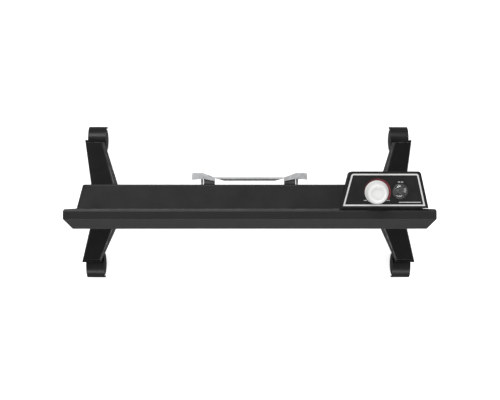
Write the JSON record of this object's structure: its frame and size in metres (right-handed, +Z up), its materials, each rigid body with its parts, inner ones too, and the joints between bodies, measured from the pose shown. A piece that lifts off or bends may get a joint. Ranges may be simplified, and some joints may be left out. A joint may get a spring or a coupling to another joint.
{
  "type": "panel convection heater",
  "caption": "Black free-standing panel convection heater on castors, with a sloping control box, white thermostat knob, covered rocker switch and wall bracket.",
  "frame": {"origin": "on the floor under the middle of the heater's bounding box", "axes": "+X to the right as seen from the front, +Y to the back (the wall side), +Z up; the flat front faces -Y"},
  "size_m": [0.6496, 0.2992, 0.4798],
  "materials": {
    "powder_black": "fine textured powder coat",
    "foot_black": "satin powder coat",
    "abs_black": "matt moulded",
    "face_black": "satin printed plate with a white border and a red arc",
    "knob_white": "satin white",
    "switch_black": "gloss",
    "cap_clear": "clear",
    "nylon_black": "smooth nylon",
    "galvanised": "zinc plated",
    "steel": "plain",
    "element_aluminium": "extruded",
    "ceramic_white": "unglazed ceramic",
    "terminal_grey": "moulded"
  },
  "bodies": {
    "heater": {"air_deflector": "galvanised", "cable_gland": "abs_black", "castor_bushes": "nylon_black", "castor_stem_back_left": "steel", "castor_stem_back_right": "steel", "castor_stem_front_left": "steel", "castor_stem_front_right": "steel", "control_cover": "abs_black", "control_screws": "steel", "control_shield": "galvanised", "control_tub": "abs_black", "element_bracket_left": "galvanised", "element_bracket_right": "galvanised", "element_bushes": "ceramic_white", "face_plate": "face_black", "foot_left": "foot_black", "foot_right": "foot_black", "foot_screws": "steel", "front_panel": "powder_black", "heater_rod": "steel", "heating_element": "element_aluminium", "inlet_grille": "powder_black", "outlet_grille": "powder_black", "panel_screws": "steel", "rear_casing": "powder_black", "switch_cap": "cap_clear", "switch_housing": "switch_black", "terminal_block": "terminal_grey", "thermal_cutout": "terminal_grey", "thermostat_body": "terminal_grey", "thermostat_bulb": "steel", "thermostat_nut": "steel", "tip_over_switch": "terminal_grey", "wall_bracket": "galvanised"},
    "knob": {"knob": "knob_white", "thermostat_shaft": "steel"},
    "rocker": {"switch_rocker": "switch_black"},
    "lock_left": {"bracket_lock_left": "nylon_black"},
    "lock_right": {"bracket_lock_right": "nylon_black"},
    "castor_back_left": {"castor_hood_back_left": "nylon_black", "castor_axle_back_left": "steel"},
    "wheel_outer_back_left": {"wheel_outer_back_left": "nylon_black"},
    "wheel_inner_back_left": {"wheel_inner_back_left": "nylon_black"},
    "castor_back_right": {"castor_hood_back_right": "nylon_black", "castor_axle_back_right": "steel"},
    "wheel_outer_back_right": {"wheel_outer_back_right": "nylon_black"},
    "wheel_inner_back_right": {"wheel_inner_back_right": "nylon_black"},
    "castor_front_left": {"castor_hood_front_left": "nylon_black", "castor_axle_front_left": "steel"},
    "wheel_outer_front_left": {"wheel_outer_front_left": "nylon_black"},
    "wheel_inner_front_left": {"wheel_inner_front_left": "nylon_black"},
    "castor_front_right": {"castor_hood_front_right": "nylon_black", "castor_axle_front_right": "steel"},
    "wheel_outer_front_right": {"wheel_outer_front_right": "nylon_black"},
    "wheel_inner_front_right": {"wheel_inner_front_right": "nylon_black"}
  },
  "joints": [
    {"name": "knob_turn", "type": "hinge", "parent": "heater", "child": "knob", "pos_m": [0.2024, 0.017, 0.45739], "axis": [0, -0.1994, 0.9799], "range_deg": [-140, 140]},
    {"name": "rocker_tilt", "type": "hinge", "parent": "heater", "child": "rocker", "pos_m": [0.2401, 0.01832, 0.45603], "axis": [1, 0, 0], "range_deg": [0, 16]},
    {"name": "lock_left_slide", "type": "slide", "parent": "heater", "child": "lock_left", "axis": [0, 0, 1], "range_m": [-0.006, 0]},
    {"name": "lock_right_slide", "type": "slide", "parent": "heater", "child": "lock_right", "axis": [0, 0, 1], "range_m": [-0.006, 0]},
    {"name": "castor_swivel_back_left", "type": "hinge", "parent": "heater", "child": "castor_back_left", "pos_m": [-0.2977, 0.1042, 0.0225], "axis": [0, 0, 1], "continuous": true},
    {"name": "wheel_spin_outer_back_left", "type": "hinge", "parent": "castor_back_left", "child": "wheel_outer_back_left", "pos_m": [-0.2977, 0.1232, 0.0225], "axis": [1, 0, 0], "continuous": true},
    {"name": "wheel_spin_inner_back_left", "type": "hinge", "parent": "castor_back_left", "child": "wheel_inner_back_left", "pos_m": [-0.2977, 0.1232, 0.0225], "axis": [1, 0, 0], "continuous": true},
    {"name": "castor_swivel_back_right", "type": "hinge", "parent": "heater", "child": "castor_back_right", "pos_m": [0.2977, 0.1042, 0.0225], "axis": [0, 0, 1], "continuous": true},
    {"name": "wheel_spin_outer_back_right", "type": "hinge", "parent": "castor_back_right", "child": "wheel_outer_back_right", "pos_m": [0.2977, 0.1232, 0.0225], "axis": [1, 0, 0], "continuous": true},
    {"name": "wheel_spin_inner_back_right", "type": "hinge", "parent": "castor_back_right", "child": "wheel_inner_back_right", "pos_m": [0.2977, 0.1232, 0.0225], "axis": [1, 0, 0], "continuous": true},
    {"name": "castor_swivel_front_left", "type": "hinge", "parent": "heater", "child": "castor_front_left", "pos_m": [-0.3014, -0.1042, 0.0225], "axis": [0, 0, 1], "continuous": true},
    {"name": "wheel_spin_outer_front_left", "type": "hinge", "parent": "castor_front_left", "child": "wheel_outer_front_left", "pos_m": [-0.3014, -0.1232, 0.0225], "axis": [1, 0, 0], "continuous": true},
    {"name": "wheel_spin_inner_front_left", "type": "hinge", "parent": "castor_front_left", "child": "wheel_inner_front_left", "pos_m": [-0.3014, -0.1232, 0.0225], "axis": [1, 0, 0], "continuous": true},
    {"name": "castor_swivel_front_right", "type": "hinge", "parent": "heater", "child": "castor_front_right", "pos_m": [0.3014, -0.1042, 0.0225], "axis": [0, 0, 1], "continuous": true},
    {"name": "wheel_spin_outer_front_right", "type": "hinge", "parent": "castor_front_right", "child": "wheel_outer_front_right", "pos_m": [0.3014, -0.1232, 0.0225], "axis": [1, 0, 0], "continuous": true},
    {"name": "wheel_spin_inner_front_right", "type": "hinge", "parent": "castor_front_right", "child": "wheel_inner_front_right", "pos_m": [0.3014, -0.1232, 0.0225], "axis": [1, 0, 0], "continuous": true}
  ]
}
